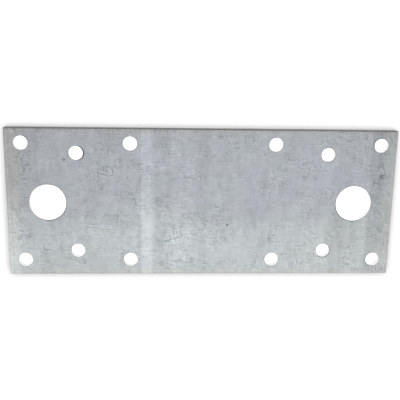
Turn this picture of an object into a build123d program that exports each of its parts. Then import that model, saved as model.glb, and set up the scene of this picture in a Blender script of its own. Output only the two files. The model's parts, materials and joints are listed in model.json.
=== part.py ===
"""Mending plate: one flat strap of galvanised steel sheet, sheared to size and punched for nails and bolts.

Millimetres.  X runs along the plate, Y across it, and +Z is the face that the punches enter.
The origin is the centre of the underside, the face that lies on the timber.
"""

import os
from math import atan2, degrees

from build123d import *

# ---- the blank -----------------------------------------------------------------------------
plate_length = 140.0
plate_width = 54.0
thickness = 2.5
corner_radius = 0.5  # the shear only breaks the four corners
edge_roll = 0.15  # it draws the upper edge down into a small round
edge_tear_lean = 0.1  # the torn foot of the edge leans in this far under the burnished band

# ---- holes for the nails -------------------------------------------------------------------
nail_hole_diameter = 5.0
nail_end_margin = 5.75  # from the plate's end to the first cross row
nail_row_pitch = 19.1  # from one cross row to the next
nail_side_margin = 5.5  # from the long edge to the outer lines of holes
nail_stagger = 3.5  # every second cross row sits this much further in, off the others' grain line
nail_rows_per_end = 3

# ---- holes for the bolts -------------------------------------------------------------------
bolt_hole_diameter = 13.0
bolt_end_margin = 14.5  # from the plate's end to the bolt's centre

# ---- the wall that a punch leaves ----------------------------------------------------------
lip_width = 0.25  # the punch draws the sheet down in a lip this wide
lip_depth = 0.12  # and this deep
lip_crown = 0.02  # the lip's rise over a straight bevel
tear_flare = 0.12  # below, the slug tears out this much wider than the punch
burnished_share = 0.45  # of a cut wall under its round or lip: the foot below it is torn
overrun = 1.0  # the punch is longer than the sheet is thick

# ---- worked out ----------------------------------------------------------------------------
edge_tear_height = (thickness - edge_roll) * (1 - burnished_share)
edge_tear_angle = degrees(atan2(edge_tear_lean, edge_tear_height))
hole_tear_height = (thickness - lip_depth) * (1 - burnished_share)
outer_line_y = plate_width / 2 - nail_side_margin
bolt_x = plate_length / 2 - bolt_end_margin


def nail_row(row):
    """How far a cross row's four holes stand from the plate's centre along X and along Y."""
    row_x = plate_length / 2 - nail_end_margin - row * nail_row_pitch
    row_y = outer_line_y - nail_stagger * (row % 2)
    return row_x, row_y


def punch(diameter):
    """What a punch clears: a drawn lip, a straight burnished bore, and a flare where the slug tears out."""
    bore = diameter / 2
    mouth = bore + tear_flare
    lip_edge = bore + lip_width
    with BuildPart() as cutter:
        with BuildSketch(Plane.XZ):
            with BuildLine():
                wall = Polyline(
                    (0, -overrun),
                    (mouth, -overrun),
                    (mouth, 0),
                    (bore, hole_tear_height),
                    (bore, thickness - lip_depth),
                )
                lip = SagittaArc(wall @ 1, (lip_edge, thickness), lip_crown)
                Polyline(
                    lip @ 1,
                    (lip_edge, thickness + overrun),
                    (0, thickness + overrun),
                    wall @ 0,
                )
            make_face()
        revolve(axis=Axis.Z)
    return cutter.part


nail_punch = punch(nail_hole_diameter)
bolt_punch = punch(bolt_hole_diameter)

with BuildPart() as plate:
    # The sheared blank: a burnished band stands upright over a torn foot that leans in.
    with BuildSketch(Plane.XY.offset(edge_tear_height)) as outline:
        RectangleRounded(plate_length, plate_width, corner_radius)
    extrude(amount=thickness - edge_tear_height)
    extrude(outline.sketch, amount=edge_tear_height, dir=(0, 0, -1), taper=edge_tear_angle)
    fillet(plate.faces().sort_by(Axis.Z)[-1].edges(), edge_roll)

    # Cross rows of four nail holes, from the ends inwards, and a bolt hole near each end.
    for row in range(nail_rows_per_end):
        row_x, row_y = nail_row(row)
        with GridLocations(2 * row_x, 2 * row_y, 2, 2):
            add(nail_punch, mode=Mode.SUBTRACT)
    with GridLocations(2 * bolt_x, 0, 2, 1):
        add(bolt_punch, mode=Mode.SUBTRACT)

plate.part.label = "plate"
os.makedirs("parts", exist_ok=True)
export_step(plate.part, "parts/plate.step")
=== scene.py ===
"""Mending plate: the looks of one strap of galvanised steel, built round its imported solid.

Metres.  X runs along the plate, Y across it, and +Z is the face that the punches entered.
The zinc is worked in millimetres on Object coordinates: its places and sizes are in millimetres, and
its strengths are shares of the plain tone.
"""

import json
import math

import bpy
import numpy as np
from mathutils import Matrix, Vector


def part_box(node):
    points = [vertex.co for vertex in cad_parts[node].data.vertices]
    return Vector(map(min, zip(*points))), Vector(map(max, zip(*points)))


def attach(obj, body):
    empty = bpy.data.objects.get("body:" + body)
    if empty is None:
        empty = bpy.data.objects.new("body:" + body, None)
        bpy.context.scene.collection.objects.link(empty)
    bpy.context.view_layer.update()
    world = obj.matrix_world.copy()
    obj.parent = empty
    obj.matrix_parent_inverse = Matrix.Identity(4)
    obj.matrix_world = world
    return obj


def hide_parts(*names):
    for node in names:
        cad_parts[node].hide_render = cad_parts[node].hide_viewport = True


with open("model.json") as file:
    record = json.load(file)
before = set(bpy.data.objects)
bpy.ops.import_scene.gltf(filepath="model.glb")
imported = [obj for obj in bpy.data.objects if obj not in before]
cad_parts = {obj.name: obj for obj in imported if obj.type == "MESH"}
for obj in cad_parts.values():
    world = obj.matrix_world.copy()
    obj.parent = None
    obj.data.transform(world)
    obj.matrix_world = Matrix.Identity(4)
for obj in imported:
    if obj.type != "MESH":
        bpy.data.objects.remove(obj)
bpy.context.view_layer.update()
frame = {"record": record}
MM = 0.001
HALF_LENGTH, HALF_WIDTH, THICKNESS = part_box("plate")[1]  # the origin is under the plate's centre

# ---- the cut walls and the lips over them ----
CORNER_RADIUS = 0.5 * MM
EDGE_ROLL = 0.15 * MM  # the shear draws the upper edge down into a small quarter round
LIP_WIDTH = 0.25 * MM  # a punch draws the sheet down in a lip this wide
LIP_DEPTH = 0.12 * MM
LIP_CROWN = 0.02 * MM
BURNISHED_SHARE = 0.45  # of a wall under its round or lip; the foot below it is torn
TEAR_HEIGHT = THICKNESS * (1 - BURNISHED_SHARE)  # about where a wall starts to tear
EDGE_FLARE = 0.1 * MM  # how far the torn foot leans back into the metal, at the sheared edge
HOLE_FLARE = 0.12 * MM  # and in a hole
TEAR_RELIEF = 0.035 * MM  # the ragged grain of a torn foot
TEAR_GRAIN = 0.55 * MM  # its pitch along the wall
TEAR_START = -0.1 * MM, 0.25 * MM  # under TEAR_HEIGHT, it starts at the first and is full at the second
FOOT_CLEAR = 0.05 * MM  # and it dies out again over this much above the underside
CUT_SOFTENING = 0.18 * MM  # the zinc gives way to cut steel over this much under a lip
FACE_RIPPLE = 9 * MM  # the pitch of the long waves in the rolled faces
FACE_RELIEF = 0.012 * MM  # the slight sink that they make
FACE_CLEAR = 0.1 * MM, 1.5 * MM  # beside a lip or an edge, it starts at the first and is full at the second
SHARP_ANGLE = 40  # degrees; a fold that is steeper shows as a true corner

# ---- how finely the surfaces are worked ----
FACE_STEP = 0.7 * MM
ARC_POINTS = 8  # down a lip or a roll
HOLE_LAND_ROWS, HOLE_FOOT_ROWS = 5, 8
EDGE_LAND_ROWS, EDGE_FOOT_ROWS = 4, 7
HOLE_MARGIN_ROWS, EDGE_MARGIN_ROWS = 4, 2  # between the face grid and a wall
MARGIN_CROWDING = 0.8  # a power of the way across: the rows lie a little closer towards the wall
NAIL_CELL_MARGIN = 1.7 * MM  # each hole has a square opening in the face grid, this far past its bore
BOLT_CELL_MARGIN = 2.5 * MM
SMALLEST_BOLT_RADIUS = 4 * MM
RIM_BORDER = 1.0 * MM  # the face grid stops this far inside the outline
RIM_FAN = 1.2 * MM  # the last stretch of each side, which opens out round the corner
FAN_STEPS = 4

# ---- seeds of the random waves; each is used with the number after it ----
FACE_SEED = 11
FIRST_HOLE_SEED = 40
EDGE_SEED = 90

# ---- colours of the zinc: on the far half, darker partly as painted shade, and on the near half ----
PLAIN_ZINC = (0.437, 0.459, 0.489, 1), (0.530, 0.562, 0.569, 1)
GREENER_ZINC = (0.420, 0.460, 0.450, 1), (0.500, 0.570, 0.560, 1)
END_ZINC = (0.452, 0.465, 0.462, 1), (0.555, 0.570, 0.552, 1)
RIM_ZINC = (0.450, 0.450, 0.452, 1), (0.555, 0.560, 0.555, 1)
VIOLET_ZINC = (0.455, 0.455, 0.525, 1)  # on the far half only
GREY_ZINC = (0.445, 0.440, 0.435, 1)  # at the left end of the far half

# ---- colours of the cut metal, and of the painted shade on the lips, the far edge and the outline's wall ----
LIP_SHADE_GREY = (0.18, 0.18, 0.18, 1)
FAR_EDGE_SHADE = (0.17, 0.17, 0.17, 1)
BRIGHT_LAND, BRIGHT_FOOT = (0.72, 0.72, 0.72, 1), (0.58, 0.58, 0.58, 1)  # in the holes
SHADED_EDGE_LAND, SHADED_EDGE_FOOT = (0.14, 0.14, 0.14, 1), (0.11, 0.11, 0.11, 1)  # round the outline, darkened as painted shade

# ---- how the marks and the cut metal lie, in millimetres ----
STROKE_SHIFT = (0.28, 0.38, 0.0)  # from a stroke's raised side, which has a painted highlight, to the stroke
CRESCENT_FADE = 0.24  # a shadowed rim fades out over this much
FAR_SHADE_LINE = (0.55, 0.25)  # inside the far edge, a painted shade line starts at the first and is full at the second
SHADED_OUTER_WALL = (1.0, 0.7)  # and so does the painted shade on the wall round the outline
TEAR_FADE = (0.075, -0.125)  # above TEAR_HEIGHT, torn metal starts at the first and is full at the second

# ---- the finish of the metal ----
STROKE_TONE = 0.22  # how much darker a stroke is, and how much lighter the painted highlight on its raised side
LIP_FLOOR = (0.64, 0.8)  # of the thickness: going up, the lips' painted shade starts at the first, full at the second
METAL_SHARE = 0.8
FACE_ROUGHNESS, LAND_ROUGHNESS = 0.48, 0.30
ROUGHNESS_SWAY = 0.2  # by the cloud on a face, and what a torn foot has more than the land above it
WALL_GRAIN = (0.25, 0.25, 6)  # millimetres: the fine grain of a cut wall is drawn out up and down it
BUMP_STRENGTH = 0.6
BUMP_DEPTH = 0.03 * MM

# ---- the white board ----
BOARD_WHITE = (0.95, 0.95, 0.95, 1)
BOARD_REACH = 3.0  # from its middle to each side
BOARD_LIFT = 0.27  # what the camera sees above the board's own light, so that it is plain white
PAINTED_BOARD_SHADE = 0.21  # painted shade: it is a little greyer just beside the plate,
FAR_SHADE_LOSS = 0.08  # less so beyond its far edge
SHADE_REACH = 3.2 * MM  # that shade fades out over this much
SHADE_SPREAD = 0.5 * MM  # it starts to fade this far past both ends,
SHADE_LEAN = 0.7 * MM  # and it is shifted this far towards the near side
UNDER_INSET = 1.0 * MM  # from this far inside the outline the board is plain white, as the holes show it

# ---- the studio ----
DOME_LEVEL = 0.88
SOFTBOX_PLACE = (0.0, -0.12, 0.64)
SOFTBOX_SIZE = 0.6
SOFTBOX_WATTS = 0.42
CAMERA_TILT, CAMERA_YAW, CAMERA_ROLL = 13.82, -3.14, 0.23  # degrees
CAMERA_OFFSET = (0.92 * MM, 1.14 * MM, 235.7 * MM)  # the upper face's centre, from the camera
CAMERA_LENS, CAMERA_SENSOR = 58.5, 36.0  # in millimetres, as the camera takes them
CAMERA_CLIP = 0.01, 10.0


def punched_holes(mounts):
    """Centre and radius of each hole, (x, y, radius) a row: each mount is a rectangle or a line of them."""
    rows = []
    for mount in mounts:
        if mount["kind"] != "bolt_pattern":
            continue
        dims = mount["dims"]
        x = dims["spacing_x_mm"] * MM / 2
        y = dims.get("spacing_y_mm", 0.0) * MM / 2
        corners = np.unique([[i * x, j * y] for i in (-1, 1) for j in (-1, 1)], axis=0)
        rows.append(np.column_stack([corners, np.full(len(corners), dims["hole_r_mm"] * MM)]))
    return np.concatenate(rows)


HOLES = punched_holes(frame["record"]["mounts"])
CELL = HOLES[:, 2] + np.where(HOLES[:, 2] > SMALLEST_BOLT_RADIUS, BOLT_CELL_MARGIN, NAIL_CELL_MARGIN)


def ease(value, start, end):
    """Smooth step: nought up to start, one from end on, and 3t^2 - 2t^3 of the way t between."""
    t = np.clip((value - start) / (end - start), 0, 1)
    return t * t * (3 - 2 * t)


def ripple(points, pitch, seed, waves=9):
    """The sum of plane waves in random directions, each near the pitch long, scaled to about -1..1."""
    rng = np.random.default_rng(seed)
    heading = rng.normal(size=(waves, 3))
    heading /= np.linalg.norm(heading, axis=1, keepdims=True)
    turns = points @ (heading / (pitch * rng.uniform(0.6, 1.6, (waves, 1)))).T
    return np.sin(2 * np.pi * (turns + rng.random(waves))).sum(-1) / math.sqrt(2 * waves)


def face_sink(x, y):
    """How far a face lies under its flat: soft rolling ripples, dying out towards every lip and edge.

    That is FACE_RELIEF times a half with long and short waves added, kept within nought and one.
    """
    points = np.stack([x, y, 0 * x], -1)
    to_hole = np.hypot(x[..., None] - HOLES[:, 0], y[..., None] - HOLES[:, 1]) - HOLES[:, 2] - LIP_WIDTH
    to_edge = np.minimum(HALF_LENGTH - np.abs(x), HALF_WIDTH - np.abs(y)) - EDGE_ROLL
    clear = ease(np.minimum(to_hole.min(-1), to_edge), *FACE_CLEAR)
    long_waves = ripple(points, FACE_RIPPLE, FACE_SEED)
    short_waves = ripple(points, 0.4 * FACE_RIPPLE, FACE_SEED + 1)
    return FACE_RELIEF * clear * np.clip(0.5 + 0.3 * long_waves + 0.2 * short_waves, 0, 1)


def grid_lines(reach, hole_places):
    """Coordinates across a face, in even steps of about FACE_STEP.

    They pass through the sides of every hole's square opening, and lie closer in the fan at each end.
    """
    fan = reach - np.linspace(0, RIM_FAN, FAN_STEPS + 1)
    knots = np.concatenate([-fan, fan, hole_places - CELL, hole_places + CELL])
    knots = np.unique(np.round(knots, 7))  # to 0.1 micrometre, so that knots that meet are one
    spans = [
        np.linspace(a, b, max(1, math.ceil((b - a) / FACE_STEP)), endpoint=False)
        for a, b in zip(knots, knots[1:])
    ]
    return np.append(np.concatenate(spans), reach)


def side_points(along, half_across, half_along):
    """Outline beside one straight side: (across, along) places and the way out of the metal there.

    A point a distance t along the side keeps t until the last RIM_FAN, which is stretched over the rest
    of the straight and half of the corner's arc; past the straight the point turns round the arc.
    """
    straight = half_along - CORNER_RADIUS
    fan_start = half_along - RIM_BORDER - RIM_FAN
    reach = np.abs(along)
    stretch = (straight + CORNER_RADIUS * math.pi / 4 - fan_start) / RIM_FAN
    travelled = np.where(reach > fan_start, fan_start + (reach - fan_start) * stretch, reach)
    turn = np.clip((travelled - straight) / CORNER_RADIUS, 0, math.pi / 4)
    across = half_across - CORNER_RADIUS * (1 - np.cos(turn))
    up = np.sign(along)
    place = np.minimum(travelled, straight) + CORNER_RADIUS * np.sin(turn)
    return np.stack([across, up * place], -1), np.stack([np.cos(turn), up * np.sin(turn)], -1)


def down_to_foot(rounded, flare, land_rows, foot_rows):
    """A lip or roll with what lies under it: an upright land, then a torn foot that leans in by the flare.

    Each point is its depth in the metal and its height. The land takes the burnished share of the height
    that the rounded part leaves.
    """
    land_top = rounded[-1, 1]
    tear = land_top * (1 - BURNISHED_SHARE)
    land = np.stack([np.zeros(land_rows), np.linspace(land_top, tear, land_rows + 1)[1:]], -1)
    fall = np.linspace(0, 1, foot_rows + 1)[1:]
    foot = np.stack([flare * fall, tear * (1 - fall)], -1)
    return np.concatenate([rounded, land, foot])


def hole_profile():
    """From the lip down a punched wall: the lip is a chord, crowned by a parabola of LIP_CROWN."""
    t = np.linspace(0, 1, ARC_POINTS)
    chord = np.stack([LIP_WIDTH * (1 - t), THICKNESS - LIP_DEPTH * t], -1)
    across = np.array([LIP_DEPTH, -LIP_WIDTH]) / math.hypot(LIP_DEPTH, LIP_WIDTH)
    lip = chord - np.outer(4 * LIP_CROWN * t * (1 - t), across)
    return down_to_foot(lip, HOLE_FLARE, HOLE_LAND_ROWS, HOLE_FOOT_ROWS)


def edge_profile():
    """From the roll down the sheared edge: the roll is a quarter circle of EDGE_ROLL."""
    t = np.linspace(0, math.pi / 2, ARC_POINTS)
    roll = np.stack([EDGE_ROLL * (1 - np.sin(t)), THICKNESS - EDGE_ROLL * (1 - np.cos(t))], -1)
    return down_to_foot(roll, EDGE_FLARE, EDGE_LAND_ROWS, EDGE_FOOT_ROWS)


def wall_points(curve, outward, profile, seed):
    """A profile carried along a closed curve: row j, column k is curve k moved back by depth j, at height j.

    Below the tear the depth also grows, by a grain that is drawn out up and down the wall. The lowest row
    has none.
    """
    depth, height = profile[:, 0, None], profile[:, 1, None]
    flat = curve[None] - outward[None] * depth[..., None]
    points = np.concatenate([flat, np.broadcast_to(height[..., None], flat.shape[:2] + (1,))], -1)
    ragged = ease(TEAR_HEIGHT - height, *TEAR_START) * ease(height, 0, FOOT_CLEAR)
    coarse = ripple(points * [1, 1, 0.35], TEAR_GRAIN, seed)
    fine = ripple(points * [1, 1, 0.5], TEAR_GRAIN / 2, seed + 1)
    push = TEAR_RELIEF * ragged * np.clip(0.5 + 0.5 * (coarse + 0.6 * fine), 0, 1)
    points[..., :2] -= outward[None] * push[..., None]
    return points


def loop_of(block):
    """The rim of a block of grid indices, anticlockwise from its low corner; rows run along X."""
    return np.concatenate([block[:-1, 0], block[-1, :-1], block[:0:-1, -1], block[0, :0:-1]])


def quads(index, closed):
    """Corner indices of the faces between the rows and columns of a grid of vertex numbers."""
    if closed:
        index = np.concatenate([index, index[:, :1]], 1)
    return np.stack([index[:-1, :-1], index[:-1, 1:], index[1:, 1:], index[1:, :-1]], -1).reshape(-1, 4)


class Skin:
    """The growing surface: vertices, faces, and how much of each vertex belongs to a cut wall."""

    def __init__(self):
        self.points, self.faces, self.wall = [], [], []
        self.count = 0

    def add_points(self, points, wall):
        """Adds a grid of points and returns the grid of their numbers."""
        flat = points.reshape(-1, 3)
        index = self.count + np.arange(len(flat)).reshape(points.shape[:-1])
        self.points.append(flat)
        self.wall.append(np.broadcast_to(wall, points.shape[:-1]).reshape(-1))
        self.count += len(flat)
        return index

    def add_wall(self, upper, lower, curve, outward, profile, seed, margin_rows):
        """Sews a wall between a loop of the upper face and the loop under it.

        The margins are straight blends from each loop to the wall's first and last row, laid on the faces.
        """
        points = wall_points(curve, outward, profile, seed)
        every = np.concatenate(self.points)
        share = np.linspace(0, 1, margin_rows + 2)[1:-1, None, None] ** MARGIN_CROWDING
        top = every[upper] * (1 - share) + points[:1] * share
        top[..., 2] = THICKNESS - face_sink(top[..., 0], top[..., 1])
        bottom = (every[lower] * (1 - share) + points[-1:] * share)[::-1]
        bottom[..., 2] = face_sink(bottom[..., 0], bottom[..., 1])
        cut = ease(THICKNESS - points[..., 2], LIP_DEPTH, LIP_DEPTH + CUT_SOFTENING)
        index = np.concatenate(
            [
                upper[None],
                self.add_points(top, 0.0),
                self.add_points(points, cut),
                self.add_points(bottom, 0.0),
                lower[None],
            ]
        )
        self.faces.append(quads(index, closed=True))

    def mesh(self, name):
        """The finished mesh, smooth but for its true corners, without the vertices that no face uses."""
        used, faces = np.unique(np.concatenate(self.faces), return_inverse=True)
        faces = faces.reshape(-1, 4)
        mesh = bpy.data.meshes.new(name)
        mesh.from_pydata(np.concatenate(self.points)[used], [], faces.tolist())
        wall = mesh.attributes.new("wall", "FLOAT", "POINT")
        wall.data.foreach_set("value", np.concatenate(self.wall)[used])
        mesh.shade_smooth()
        mesh.set_sharp_from_angle(angle=math.radians(SHARP_ANGLE))
        mesh.update()
        return mesh


def build_skin(name):
    """The whole plate: two face grids with square openings, a wall through each, and one all round."""
    x = grid_lines(HALF_LENGTH - RIM_BORDER, HOLES[:, 0])
    y = grid_lines(HALF_WIDTH - RIM_BORDER, HOLES[:, 1])
    grid_x, grid_y = np.meshgrid(x, y, indexing="ij")
    sink = face_sink(grid_x, grid_y)
    skin = Skin()
    top = skin.add_points(np.stack([grid_x, grid_y, THICKNESS - sink], -1), 0.0)
    bottom = skin.add_points(np.stack([grid_x, grid_y, sink], -1), 0.0)

    mid_x, mid_y = np.meshgrid((x[1:] + x[:-1]) / 2, (y[1:] + y[:-1]) / 2, indexing="ij")
    off_x = np.abs(mid_x[..., None] - HOLES[:, 0])
    off_y = np.abs(mid_y[..., None] - HOLES[:, 1])
    solid = ~((off_x < CELL) & (off_y < CELL)).any(-1).ravel()
    skin.faces.append(quads(top, closed=False)[solid][:, ::-1])
    skin.faces.append(quads(bottom, closed=False)[solid])

    snug = 1e-3 * MM  # a hair, so that each block takes in the grid lines on its own sides
    for number, ((hole_x, hole_y, radius), cell) in enumerate(zip(HOLES, CELL)):
        across = np.searchsorted(x, [hole_x - cell - snug, hole_x + cell + snug])
        along = np.searchsorted(y, [hole_y - cell - snug, hole_y + cell + snug])
        block = np.s_[across[0] : across[1], along[0] : along[1]]
        angle = np.arctan2(loop_of(grid_y[block]) - hole_y, loop_of(grid_x[block]) - hole_x)
        ray = np.stack([np.cos(angle), np.sin(angle)], -1)
        rim = [hole_x, hole_y] + radius * ray
        loops = loop_of(top[block]), loop_of(bottom[block])
        seed = FIRST_HOLE_SEED + 2 * number
        skin.add_wall(*loops, rim, -ray, hole_profile(), seed, HOLE_MARGIN_ROWS)

    side_y, way_y = side_points(y, HALF_LENGTH, HALF_WIDTH)
    side_x, way_x = side_points(x, HALF_WIDTH, HALF_LENGTH)
    flip_across, flip_along = np.array([-1, 1]), np.array([1, -1])

    def round_trip(by_y, by_x):
        """Near side, right end, far side and left end, anticlockwise from the low corner."""
        return np.concatenate(
            [by_x[:-1, ::-1] * flip_along, by_y[:-1], by_x[:0:-1, ::-1], by_y[:0:-1] * flip_across]
        )

    # The metal lies outside a hole's wall but inside this one, so these loops run the other way round.
    loops = loop_of(top)[::-1], loop_of(bottom)[::-1]
    curve = round_trip(side_y, side_x)[::-1]
    outward = round_trip(way_y, way_x)[::-1]
    skin.add_wall(*loops, curve, outward, edge_profile(), EDGE_SEED, EDGE_MARGIN_ROWS)
    return skin.mesh(name)


class Signal:
    """One value in a node tree. Arithmetic on it adds Math nodes, and node() adds any other kind.

    A signal without a socket only starts a tree.
    """

    def __init__(self, tree, socket=None):
        self.tree = tree
        self.socket = socket

    def node(self, kind, settings=None, inputs=None, output=0):
        """Adds a node: its settings first, then the values or links of its sockets.

        Returns the output that is asked for, or one for each where several are named.
        """
        made = self.tree.nodes.new("ShaderNode" + kind)
        for name, value in (settings or {}).items():
            setattr(made, name, value)
        for name, value in (inputs or {}).items():
            if isinstance(value, Signal):
                self.tree.links.new(value.socket, made.inputs[name])
            else:
                made.inputs[name].default_value = value
        if isinstance(output, tuple):
            return [Signal(self.tree, made.outputs[name]) for name in output]
        return Signal(self.tree, made.outputs[output]) if made.outputs else None

    def maths(self, operation, *values):
        return self.node("Math", {"operation": operation}, dict(enumerate(values)))

    def __add__(self, other):
        return self.maths("ADD", self, other)

    def __radd__(self, other):
        return self.maths("ADD", other, self)

    def __sub__(self, other):
        return self.maths("SUBTRACT", self, other)

    def __rsub__(self, other):
        return self.maths("SUBTRACT", other, self)

    def __mul__(self, other):
        return self.maths("MULTIPLY", self, other)

    def __rmul__(self, other):
        return self.maths("MULTIPLY", other, self)

    def __abs__(self):
        return self.maths("ABSOLUTE", self)


def emptied(owner):
    """Clears the node tree of a material or a world, and gives the signal that its new nodes start from."""
    owner.use_nodes = True
    owner.node_tree.nodes.clear()
    return Signal(owner.node_tree)


def finish_surface(start, sockets):
    """Ends a material's tree in one shader with these values and links."""
    start.node("OutputMaterial", {}, {"Surface": start.node("BsdfPrincipled", {}, sockets)})


def greater(first, second):
    return first.maths("MAXIMUM", first, second)


def lesser(first, second):
    return first.maths("MINIMUM", first, second)


def between(value, start, end):
    """A soft mask: nought where the value is at start, one at end."""
    return value.node(
        "MapRange",
        {"interpolation_type": "SMOOTHSTEP"},
        {"Value": value, "From Min": start, "From Max": end},
        "Result",
    )


def band(value, centre, half_width, soft):
    """One across a band of the value, falling to nought over the soft width at each side."""
    return between(abs(value - centre), half_width + soft, half_width)


def vector(operation, first, second):
    """Vector Math on two values, of which the first is a signal."""
    return first.node("VectorMath", {"operation": operation}, {0: first, 1: second})


def length(place):
    return place.node("VectorMath", {"operation": "LENGTH"}, {0: place}, "Value")


def grey(level):
    """A signal as a colour."""
    return level.node("CombineColor", {}, {0: level, 1: level, 2: level})


def mixed(share, first, second):
    """A colour between two others."""
    return share.node("Mix", {"data_type": "RGBA"}, {0: share, 6: first, 7: second}, 2)


def stretched(place, x, y, z, shift=(0.0, 0.0, 0.0)):
    """The place, shifted, and then divided by a pattern's length along each axis."""
    return vector("DIVIDE", vector("ADD", place, shift), (x, y, z))


def swayed(place, sway, reach):
    """The place pushed about by a noise colour, up to the reach along each axis."""
    return place.node("VectorMath", {"operation": "MULTIPLY_ADD"}, {0: sway, 1: reach, 2: place})


def noise(place, detail=2.0):
    """Soft noise of about one unit, from 0 to 1 with its middle at 0.5."""
    inputs = {"Vector": place, "Scale": 1.0, "Detail": detail, "Roughness": 0.5}
    return place.node("TexNoise", {"noise_dimensions": "3D"}, inputs, "Fac")


def dashes(place, x, y, shift, low=0.58, high=0.68):
    """Short soft strokes, from nought to one: the crests of a noise drawn out along X or along Y."""
    return between(noise(stretched(place, x, y, 9, shift)), low, high)


def cells(place, x, y, shift):
    """Straight-sided cells, each with its own level from -0.5 to 0.5."""
    inputs = {"Vector": stretched(place, x, y, 9, shift), "Scale": 1.0}
    colour = place.node("TexVoronoi", {"distance": "CHEBYCHEV"}, inputs, "Color")
    return place.node("SeparateColor", {}, {0: colour}) - 0.5


def towards_side(value, half, fade):
    """A soft mask beside a side at half: nought at the fade's first distance inside it, one at its second."""
    return between(value, half - fade[0], half - fade[1])


def spot(place, x, y, half_x, half_y):
    """One at the middle of an ellipse, falling softly to nought at its rim."""
    away = vector("MULTIPLY", vector("SUBTRACT", place, (x, y, 0.0)), (1 / half_x, 1 / half_y, 0.0))
    return between(length(away), 1.0, 0.4)


def beside_hole(place, x, y, shift_x, shift_y):
    """The crescent that shows beside the hole nearest to x, y when its circle is shifted a little."""
    hole_x, hole_y, radius = HOLES[np.hypot(HOLES[:, 0] / MM - x, HOLES[:, 1] / MM - y).argmin()] / MM
    away = vector("SUBTRACT", place, (hole_x + shift_x, hole_y + shift_y, 0.0))
    return between(length(vector("MULTIPLY", away, (1.0, 1.0, 0.0))), radius + CRESCENT_FADE, radius)


def gatherings(place):
    """How strongly the dark strokes crowd together: down both ends, and in a few knots between the holes."""
    return (
        spot(place, -64.0, 12.0, 4.5, 7.0) * 0.6
        + spot(place, -65.0, -12.5, 4.0, 6.0) * 1.3
        + spot(place, -56.7, -18.0, 3.0, 2.5)
        + spot(place, -35.0, 11.5, 5.0, 3.0) * 1.2
        + spot(place, -11.0, -13.4, 9.0, 4.0)
        + spot(place, -6.0, -21.5, 4.5, 3.0)
        + spot(place, 25.0, -12.5, 4.0, 3.5) * 0.9
        + spot(place, 30.5, 14.0, 5.0, 4.0) * 0.7
        + spot(place, 38.0, 10.0, 3.5, 3.0)
        + spot(place, 64.5, 10.0, 3.2, 6.5) * 1.2
        + spot(place, 65.0, -11.5, 3.0, 4.5)
        + spot(place, 54.5, -22.5, 4.5, 3.0) * 0.9
        + spot(place, 52.0, 22.5, 3.5, 3.0) * 0.7
    )


def calm_places(place):
    """How much fainter the strokes are, on the far side of the left bolt hole and close to its near side."""
    return spot(place, -51.0, 14.0, 12.0, 14.0) * 0.6 + spot(place, -53.0, -9.5, 8.0, 4.0) * 0.5


def spangle(place):
    """The grain of the zinc, as (tone, relief, cloud).

    Tone holds soft panels and crystals, streaks across the sheet, hairlines along it, speckle, and curled
    dark strokes with a painted highlight on one side, where a raised crystal border would catch the light.
    Relief is the height of the crystals, hairlines, speckle and strokes. Cloud is a slow unevenness that the
    tint and the gloss follow too.
    """
    fine = {"Vector": place, "Scale": 0.7, "Detail": 3.0, "Roughness": 0.6}
    sway = place.node("TexNoise", {}, fine, "Color")
    curled = swayed(place, sway, (2.2, 1.8, 0.0))
    eased = swayed(place, sway, (0.9, 0.7, 0.0))
    slow = {"Vector": place, "Scale": 0.42, "Detail": 1.0, "Roughness": 0.5}
    hooked = swayed(place, place.node("TexNoise", {}, slow, "Color"), (1.5, 1.2, 0.0))
    panel = cells(eased, 3.1, 7.0, (3, 2, 0)) + cells(eased, 1.7, 2.4, (9, 0, 0))
    crystal = cells(curled, 0.9, 0.8, (0, 0, 0))
    cloud = noise(stretched(place, 14, 11, 9), 3.0) - 0.5
    column = noise(stretched(place, 1.4, 17, 9, (40, 0, 0))) - 0.5
    hairline = dashes(eased, 3.4, 0.38, (0, 3, 0), 0.42, 0.62) - 0.5
    speckle = noise(stretched(place, 0.36, 0.33, 0.4, (4, 4, 0)), 1.0) - 0.5
    along = place.node("SeparateXYZ", {}, {0: place}, "X")
    combed = between(noise(stretched(place, 6, 7, 9, (5, 31, 0))), 0.40, 0.60)
    combed = combed * (band(along, -15.0, 9.0, 5.0) * 0.7 + 0.4)
    crowd = gatherings(place)
    group = greater(between(noise(stretched(place, 6, 5, 9, (13, 5, 0))), 0.44, 0.60), crowd)
    group = lesser(group, 1.0)

    def strokes(where):
        """Hooks and short bars: the contour of a noise, and crests drawn out along the plate or across it."""
        contour = band(noise(stretched(where, 2.6, 3.4, 9, (50, 2, 0)), 1.0), 0.5, 0.008, 0.026)
        bars = greater(dashes(where, 2.6, 0.60, (3, 9, 0)), dashes(where, 0.62, 2.9, (21, 9, 0)))
        return greater(bars, contour * 0.6)

    shown = 1.0 - calm_places(place)
    dark = strokes(hooked) * (group * 0.8 + crowd * 0.4 + 0.15) * shown
    beside = strokes(vector("ADD", hooked, STROKE_SHIFT))
    # Painted highlight: the raised side of each stroke is lighter in tone, as if it caught the light.
    pale = greater(beside * (group * 0.7 + 0.15) * shown - dark, 0.0)
    tone = (
        panel * 0.085
        + crystal * 0.070
        + cloud * 0.05
        + column * 0.13
        + hairline * (combed * 0.11 + 0.045)
        + speckle * (group * 0.08 + 0.20)
        - dark * STROKE_TONE
        + pale * STROKE_TONE
    )
    relief = crystal * 0.5 + hairline * 0.5 + speckle * 0.5 - dark * 2.0 + pale
    return tone, relief, cloud


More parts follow.
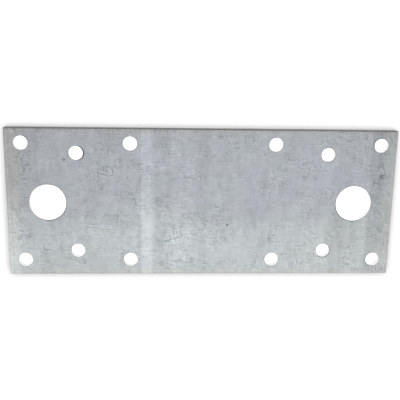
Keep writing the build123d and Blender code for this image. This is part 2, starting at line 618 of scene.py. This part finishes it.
def rolled_bands(x, y):
    """How much lighter the sheet is from place to place: bands that cross it, and dull ends and edges.

    Two pale strips cross it left of its middle. The ends are dull, and pale again at their rims. The
    long edges darken, most at the far one.
    """
    nearer = between(y, 9.0, -14.0)
    strips = (
        between(x, -22.4, -22.0) * between(x, -16.9, -19.9) * (0.145 + nearer * 0.03)
        + between(x, -12.4, -9.8) * between(x, -2.8, -4.4) * (0.04 + nearer * 0.03)
        - band(x, -15.0, 1.5, 2.0) * 0.025
        - band(x, 0.4, 0.7, 0.9) * 0.05
        + band(x, 42.0, 4.0, 4.0) * 0.03
        - band(x, 50.0, 1.5, 2.0) * (0.01 + nearer * 0.08)
    )
    right_end = (
        between(x, 64.0, 69.6) * (0.145 - between(y, 15.0, 25.0) * 0.04 - between(y, 6.0, -12.0) * 0.09)
        - between(x, 60.2, 61.6) * (0.15 - between(y, -9.0, -20.0) * 0.04)
    )
    left_end = (
        between(x, -64.6, -67.6) * (0.03 + between(y, 14.0, -4.0) * 0.12)
        - between(x, -53.0, -62.0) * (0.06 - nearer * 0.10)
        - between(x, -15.0, -60.0) * 0.05
        + band(x, -69.2, 0.1, 0.3) * 0.06
        - band(x, -68.5, 0.1, 0.3) * 0.06
    )
    # Darker towards the far edge, partly as painted shade.
    far_edge = between(y, 12.0, 26.0) * 0.06 + between(y, 25.4, 26.6) * 0.08
    near_edge = between(y, -26.3, -26.8) * 0.08
    return strips + right_end + left_end - far_edge - near_edge - between(x, 12.0, -14.0) * 0.015


def patches(place):
    """How much lighter soft patches of the zinc are than the bands they lie in, from left to right."""
    return (
        spot(place, -66.5, 22.5, 4.0, 4.5) * 0.045
        + spot(place, -55.0, 7.5, 7.0, 3.5) * 0.03
        + spot(place, -53.0, -16.5, 8.0, 8.0) * 0.025
        - spot(place, -42.0, 16.0, 4.5, 4.5) * 0.04
        + spot(place, -35.0, -2.0, 8.0, 9.5) * 0.05
        - spot(place, -22.0, -25.0, 4.0, 3.5) * 0.04
        + spot(place, -18.5, 2.0, 4.0, 7.5) * 0.065
        + spot(place, 1.0, -15.0, 14.0, 11.0) * 0.022
        + spot(place, 18.5, 24.5, 4.5, 4.0) * 0.035
        + spot(place, 40.0, -0.5, 7.0, 6.5) * 0.035
        + spot(place, 49.0, -20.5, 6.0, 4.5) * 0.035
        + spot(place, 58.0, 21.5, 13.0, 5.5) * 0.03
        + spot(place, 62.5, 4.0, 4.5, 7.5) * 0.05
        - spot(place, 64.5, -10.5, 4.0, 8.5) * 0.04
        + spot(place, 66.8, 20.0, 3.5, 7.5) * 0.055
        + spot(place, 67.0, -22.5, 3.2, 4.5) * 0.04
    )


def marks(place):
    """How much darker single marks are: specks, a darker patch by one bolt hole, bold strokes and shadowed
    rims.
    """
    specks = (
        spot(place, -49.3, 15.6, 0.55, 0.55) * 0.5
        + spot(place, -27.0, 9.1, 0.40, 0.34) * 0.5
        + spot(place, 9.2, -8.2, 0.50, 0.45) * 0.8
    )
    darker_patch = spot(place, 53.0, -10.5, 11.0, 6.5) * 0.07
    bold_strokes = (
        spot(place, 60.6, 14.0, 1.2, 0.6) * 0.2
        + spot(place, 62.6, 7.6, 0.8, 1.7) * 0.2
        + spot(place, 65.0, 15.0, 1.1, 0.8) * 0.12
    )
    shadowed_rims = (
        beside_hole(place, -45.0, 18.0, 0.44, 0.04) * 0.75
        + beside_hole(place, -55.0, 0.0, 0.22, -0.18) * 0.35
        + beside_hole(place, 55.0, 0.0, -0.24, -0.18) * 0.35
        + beside_hole(place, 45.0, 18.0, 0.20, -0.08) * 0.3
        + beside_hole(place, 45.0, -18.0, 0.16, -0.20) * 0.4
        + beside_hole(place, 64.0, 21.0, -0.24, 0.24) * 0.35
    )
    return specks + darker_patch + bold_strokes + shadowed_rims


def zinc_colour(place, x, y, cloud):
    """Bluish grey on the far half and paler, greener grey on the near half, with faint tinted patches. The
    far half is darker partly as painted shade.

    Both ends and both long rims are a plainer grey, most at the left end of the far half.
    """
    near = between(y + cloud * 20, 3.5, -15.0)
    patch = noise(stretched(place, 10, 8, 9, (8, 20, 0)))
    green = between(patch, 0.45, 0.62) * 0.20
    violet = between(patch, 0.50, 0.36) * (1.0 - near) * 0.07
    ends = greater(between(abs(x), 63.0, 69.0) * 0.8, near * between(x, 34.0, 50.0) * 0.2)
    rims = between(abs(y), 24.3, 25.8) * 0.5
    grey_end = between(x, -60.0, -68.0) * between(y, -7.0, 4.0) * 0.65
    zinc = mixed(near, *PLAIN_ZINC)
    zinc = mixed(green, zinc, mixed(near, *GREENER_ZINC))
    zinc = mixed(violet, zinc, VIOLET_ZINC)
    zinc = mixed(ends, zinc, mixed(near, *END_ZINC))
    zinc = mixed(rims, zinc, mixed(near, *RIM_ZINC))
    return mixed(grey_end, zinc, GREY_ZINC)


def galvanised_steel():
    """Dull hot-dip zinc on both faces; burnished and torn steel on the cut walls; painted shade and
    highlights over both.
    """
    material = bpy.data.materials.new("galvanised_steel")
    start = emptied(material)
    objects = start.node("TexCoord", output="Object")
    place = start.node("VectorMath", {"operation": "SCALE"}, {0: objects, "Scale": 1 / MM})
    x, y, z = start.node("SeparateXYZ", {}, {0: place}, ("X", "Y", "Z"))
    half_length, half_width, thickness = HALF_LENGTH / MM, HALF_WIDTH / MM, THICKNESS / MM
    lip_depth, tear = LIP_DEPTH / MM, TEAR_HEIGHT / MM

    grain, relief, cloud = spangle(place)
    tone = (grain + rolled_bands(x, y) + patches(place) + 1.0) * (1.0 - marks(place))
    face = vector("MULTIPLY", zinc_colour(place, x, y, cloud), grey(tone))

    # Painted shade: the lips and the roll are darkened towards grey, but not the foot of a wall.
    lip = between(z, thickness - lip_depth / 8, thickness - lip_depth / 2)
    lip = lip * between(z, LIP_FLOOR[0] * thickness, LIP_FLOOR[1] * thickness)
    face = mixed(lip * 0.5, face, LIP_SHADE_GREY)
    # Painted shade: a dark line along the face just inside the far edge.
    face = mixed(towards_side(y, half_width, FAR_SHADE_LINE), face, FAR_EDGE_SHADE)

    # The holes' walls are bright from the punch; the sheared edge's wall is darkened as painted shade.
    wall = start.node("Attribute", {"attribute_name": "wall"}, output="Fac")
    outer = greater(
        towards_side(abs(x), half_length, SHADED_OUTER_WALL),
        towards_side(abs(y), half_width, SHADED_OUTER_WALL),
    )
    torn = between(z, tear + TEAR_FADE[0], tear + TEAR_FADE[1])
    cut = mixed(outer, mixed(torn, BRIGHT_LAND, BRIGHT_FOOT), mixed(torn, SHADED_EDGE_LAND, SHADED_EDGE_FOOT))
    face_rough = cloud * ROUGHNESS_SWAY + FACE_ROUGHNESS
    wall_rough = torn * ROUGHNESS_SWAY + LAND_ROUGHNESS
    rough = face_rough * (1 - wall) + wall * wall_rough
    height = relief * (1 - wall) + wall * noise(stretched(place, *WALL_GRAIN))
    bump = {"Strength": BUMP_STRENGTH, "Distance": BUMP_DEPTH, "Height": height}
    finish_surface(
        start,
        {
            "Base Color": mixed(wall, face, cut),
            "Metallic": METAL_SHARE,
            "Roughness": rough,
            "Normal": start.node("Bump", {}, bump, "Normal"),
        },
    )
    return material


def white_board():
    """White board that keeps the plate's shadow, with painted shade beside it; past that and through the
    holes it is plain white.
    """
    material = bpy.data.materials.new("white_board")
    start = emptied(material)
    x, y = start.node("SeparateXYZ", {}, {0: start.node("TexCoord", output="Object")}, ("X", "Y"))
    under_x = between(abs(x), HALF_LENGTH - UNDER_INSET / 2, HALF_LENGTH - UNDER_INSET)
    under_y = between(abs(y), HALF_WIDTH - UNDER_INSET / 2, HALF_WIDTH - UNDER_INSET)
    out_x = greater(abs(x) - (HALF_LENGTH + SHADE_SPREAD), 0.0)
    out_y = greater(abs(y + SHADE_LEAN) - HALF_WIDTH, 0.0)
    past = length(start.node("CombineXYZ", {}, {"X": out_x, "Y": out_y}))
    # Painted shadow: the board's own light is lowered just beside the plate, on top of its real shadow.
    beside = between(past, SHADE_REACH, 0.0)
    painted_shade = beside * (PAINTED_BOARD_SHADE - between(y, 0.0, HALF_WIDTH) * FAR_SHADE_LOSS)
    lift = greater(BOARD_LIFT - painted_shade, under_x * under_y)
    rays = ("Is Camera Ray", "Is Glossy Ray", "Is Transmission Ray")
    camera, glossy, through = start.node("LightPath", output=rays)
    seen = greater(camera, greater(glossy, through))
    finish_surface(
        start,
        {
            "Base Color": BOARD_WHITE,
            "Roughness": 1.0,
            "Specular IOR Level": 0.0,
            "Emission Color": grey(seen * lift),
            "Emission Strength": 1.0,
        },
    )
    return material


def studio_world():
    """An even soft dome, which the camera sees as plain white."""
    world = bpy.data.worlds.new("studio")
    start = emptied(world)
    level = greater(start.node("LightPath", output="Is Camera Ray"), DOME_LEVEL)
    light = start.node("Background", {}, {"Color": grey(level), "Strength": 1.0})
    start.node("OutputWorld", {}, {"Surface": light})
    return world


def add_object(name, data):
    """An object in the scene, at the origin."""
    item = bpy.data.objects.new(name, data)
    bpy.context.scene.collection.objects.link(item)
    return item


def add_softbox():
    """A square soft lamp that faces the plate's centre."""
    lamp = bpy.data.lights.new("softbox", "AREA")
    lamp.size = SOFTBOX_SIZE
    lamp.energy = SOFTBOX_WATTS
    away = np.array(SOFTBOX_PLACE) / np.linalg.norm(SOFTBOX_PLACE)
    side = np.cross([0, 0, 1], away)
    side /= np.linalg.norm(side)
    axes = np.stack([side, np.cross(away, side), away], 1)
    place = Matrix.Translation(SOFTBOX_PLACE)
    box = add_object("softbox", lamp)
    box.matrix_world = place @ Matrix(axes.tolist()).to_4x4()


def add_camera():
    """Looks almost straight down, from a little behind the plate's far edge.

    The view is the plate turned by tilt about X, then yaw about Y, then roll about Z, in camera axes: X to
    the right, Y down and Z away from the lens.
    """
    tilt, yaw, roll = (math.radians(a) for a in (CAMERA_TILT, CAMERA_YAW, CAMERA_ROLL))
    turned = Matrix.Rotation(roll, 3, "Z") @ Matrix.Rotation(yaw, 3, "Y") @ Matrix.Rotation(tilt, 3, "X")
    view = np.array(turned) @ np.diag([1, -1, -1])
    place = -view.T @ CAMERA_OFFSET + [0, 0, THICKNESS]
    axes = np.stack([view[0], -view[1], -view[2]], 1)
    camera = bpy.data.cameras.new("camera")
    camera.sensor_width = CAMERA_SENSOR
    camera.lens = CAMERA_LENS
    camera.clip_start, camera.clip_end = CAMERA_CLIP
    item = add_object("camera", camera)
    item.matrix_world = Matrix.Translation(place) @ Matrix(axes.tolist()).to_4x4()
    bpy.context.scene.camera = item


def add_board():
    """A wide white board under the plate."""
    r = BOARD_REACH
    mesh = bpy.data.meshes.new("board")
    mesh.from_pydata([(-r, -r, 0), (r, -r, 0), (r, r, 0), (-r, r, 0)], [], [(0, 1, 2, 3)])
    mesh.materials.append(white_board())
    board = add_object("board", mesh)


plate = add_object("galvanised_plate", build_skin("galvanised_plate"))
plate.data.materials.append(galvanised_steel())
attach(plate, "root")
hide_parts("plate")

add_board()
bpy.context.scene.world = studio_world()
add_softbox()
add_camera()
bpy.context.scene.view_settings.view_transform = "Standard"
